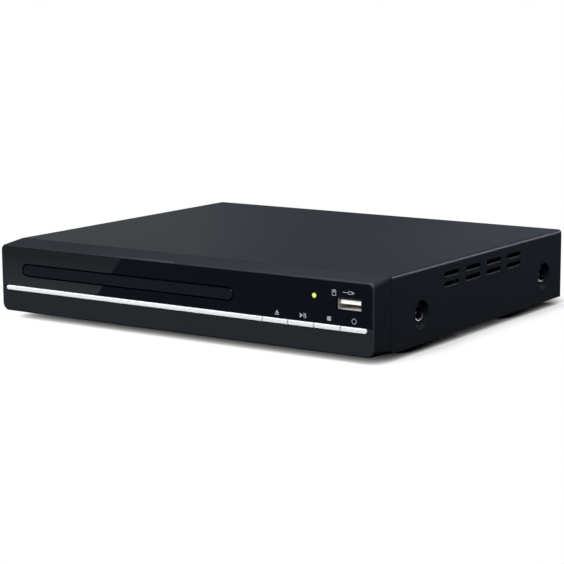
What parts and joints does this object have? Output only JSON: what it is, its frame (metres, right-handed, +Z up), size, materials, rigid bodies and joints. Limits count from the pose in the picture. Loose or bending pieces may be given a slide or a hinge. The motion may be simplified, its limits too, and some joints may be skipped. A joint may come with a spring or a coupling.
{
  "type": "dvd player",
  "caption": "Compact disc player with a sliding disc tray behind a pill-shaped door, a bright strip with press buttons, a front data socket, side vents and rear sockets.",
  "frame": {"origin": "middle of the footprint, on the surface that the feet stand on", "axes": "+X to the right seen from the front, +Y from the front to the back, +Z up"},
  "size_m": [0.225, 0.1988, 0.04],
  "materials": {
    "painted_cover": "satin dark grey powder coat",
    "rear_paint": "matt black paint",
    "zinc_steel": "zinc-plated sheet",
    "satin_black": "satin moulded front",
    "gloss_black": "high gloss",
    "bright_trim": "bright plated plastic",
    "light_pipe": "tinted light pipe",
    "circuit_board": "solder-masked laminate",
    "black_part": "moulded black resin",
    "smoked_window": "infrared window resin",
    "socket_shell": "nickel-plated shell",
    "tray_plastic": "fine-grained moulding",
    "loader_plastic": "moulded frame",
    "gear_plastic": "natural acetal",
    "motor_steel": "drawn can",
    "belt_rubber": "matt",
    "clamp_steel": "pressed sheet",
    "traverse_plastic": "glass-filled moulding",
    "ground_steel": "ground rod",
    "lens_clear": "clear lens",
    "sink_aluminium": "extruded",
    "can_sleeve": "shrink sleeve",
    "jack_orange": "moulded insert",
    "jack_yellow": "moulded insert",
    "white_plastic": "moulded white resin",
    "jack_red": "moulded insert",
    "ferrite": "sintered ferrite",
    "winding_tape": "polyester tape",
    "ribbon_grey": "flat cable",
    "foot_rubber": "matt",
    "bright_screw": "zinc-plated screw",
    "contact_brass": "plated pin"
  },
  "bodies": {
    "case": {"top_cover": "painted_cover", "base_pan": "zinc_steel", "rear_panel": "rear_paint", "front_bezel": "satin_black", "fascia_panel": "gloss_black", "trim_strip": "bright_trim", "led_lens": "light_pipe", "front_board": "circuit_board", "tact_switches": "black_part", "ir_receiver": "smoked_window", "usb_shell": "socket_shell", "usb_tongue": "white_plastic", "loader_frame": "loader_plastic", "loading_motor": "motor_steel", "drive_belt": "belt_rubber", "clamp_bridge": "clamp_steel", "main_board": "circuit_board", "board_chips": "black_part", "heat_sink": "sink_aluminium", "board_capacitors": "can_sleeve", "hdmi_shell": "socket_shell", "hdmi_tongue": "black_part", "jack_block": "black_part", "jack_barrels": "socket_shell", "jack_digital": "jack_orange", "jack_video": "jack_yellow", "jack_left": "white_plastic", "jack_right": "jack_red", "power_board": "circuit_board", "mains_inlet": "black_part", "inlet_pins": "contact_brass", "transformer_core": "ferrite", "transformer_winding": "winding_tape", "power_capacitors": "can_sleeve", "front_ribbon": "ribbon_grey", "power_ribbon": "ribbon_grey", "feet": "foot_rubber", "cover_screws": "bright_screw", "inner_screws": "bright_screw"},
    "tray": {"disc_tray": "tray_plastic", "tray_door": "gloss_black"},
    "tray_gear": {"tray_gear": "gear_plastic"},
    "pulley_gear": {"pulley_gear": "gear_plastic"},
    "motor_pulley": {"motor_pulley": "contact_brass"},
    "cam": {"cam_slider": "gear_plastic"},
    "traverse": {"traverse_plate": "traverse_plastic", "spindle_motor": "motor_steel", "guide_rods": "ground_steel", "sled_motor": "motor_steel"},
    "turntable": {"turntable": "black_part"},
    "puck": {"clamp_puck": "black_part"},
    "pickup": {"pickup_sled": "black_part", "objective_lens": "lens_clear"},
    "lead_screw": {"lead_screw": "ground_steel"},
    "eject": {"button_eject": "bright_trim"},
    "play": {"button_play": "bright_trim"},
    "stop": {"button_stop": "bright_trim"},
    "power": {"button_power": "bright_trim"}
  },
  "joints": [
    {"name": "tray_slide", "type": "slide", "parent": "case", "child": "tray", "axis": [0, -1, 0], "range_m": [0, 0.124]},
    {"name": "tray_gear_spin", "type": "hinge", "parent": "case", "child": "tray_gear", "pos_m": [0.0024, -0.07055, 0.015], "axis": [0, 0, 1], "range_deg": [-712, 0]},
    {"name": "pulley_gear_spin", "type": "hinge", "parent": "case", "child": "pulley_gear", "pos_m": [-0.0126, -0.07055, 0.015], "axis": [0, 0, 1], "range_deg": [0, 1513]},
    {"name": "motor_pulley_spin", "type": "hinge", "parent": "case", "child": "motor_pulley", "pos_m": [-0.0476, -0.06945, 0.015], "axis": [0, 0, 1], "range_deg": [0, 4540]},
    {"name": "cam_slide", "type": "slide", "parent": "case", "child": "cam", "axis": [1, 0, 0], "range_m": [0, 0.014]},
    {"name": "traverse_tilt", "type": "hinge", "parent": "case", "child": "traverse", "pos_m": [-0.0316, 0.04795, 0.0168], "axis": [1, 0, 0], "range_deg": [0, 5.01]},
    {"name": "turntable_spin", "type": "hinge", "parent": "traverse", "child": "turntable", "pos_m": [-0.0316, -0.03305, 0.024], "axis": [0, 0, 1], "continuous": true},
    {"name": "clamp_spin", "type": "hinge", "parent": "case", "child": "puck", "pos_m": [-0.0316, -0.03305, 0.032], "axis": [0, 0, 1], "continuous": true},
    {"name": "pickup_slide", "type": "slide", "parent": "traverse", "child": "pickup", "axis": [0, 1, 0], "range_m": [0, 0.035]},
    {"name": "lead_screw_spin", "type": "hinge", "parent": "traverse", "child": "lead_screw", "pos_m": [-0.0646, -0.00905, 0.0205], "axis": [0, 1, 0], "range_deg": [0, 4210]},
    {"name": "eject_press", "type": "slide", "parent": "case", "child": "eject", "axis": [0, 1, 0], "range_m": [0, 0.0006], "stiffness_N_per_m": 600},
    {"name": "play_press", "type": "slide", "parent": "case", "child": "play", "axis": [0, 1, 0], "range_m": [0, 0.0006], "stiffness_N_per_m": 600},
    {"name": "stop_press", "type": "slide", "parent": "case", "child": "stop", "axis": [0, 1, 0], "range_m": [0, 0.0006], "stiffness_N_per_m": 600},
    {"name": "power_press", "type": "slide", "parent": "case", "child": "power", "axis": [0, 1, 0], "range_m": [0, 0.0006], "stiffness_N_per_m": 600}
  ],
  "couplings": [
    {"joint": "tray_gear_spin", "follows": "tray_slide", "rad_per_m": -100},
    {"joint": "pulley_gear_spin", "follows": "tray_slide", "rad_per_m": 212.5},
    {"joint": "motor_pulley_spin", "follows": "tray_slide", "rad_per_m": 637.5},
    {"joint": "traverse_tilt", "follows": "cam_slide", "rad_per_m": 6.2333},
    {"joint": "clamp_spin", "follows": "turntable_spin", "ratio": 1},
    {"joint": "lead_screw_spin", "follows": "pickup_slide", "rad_per_m": 2094.4}
  ]
}
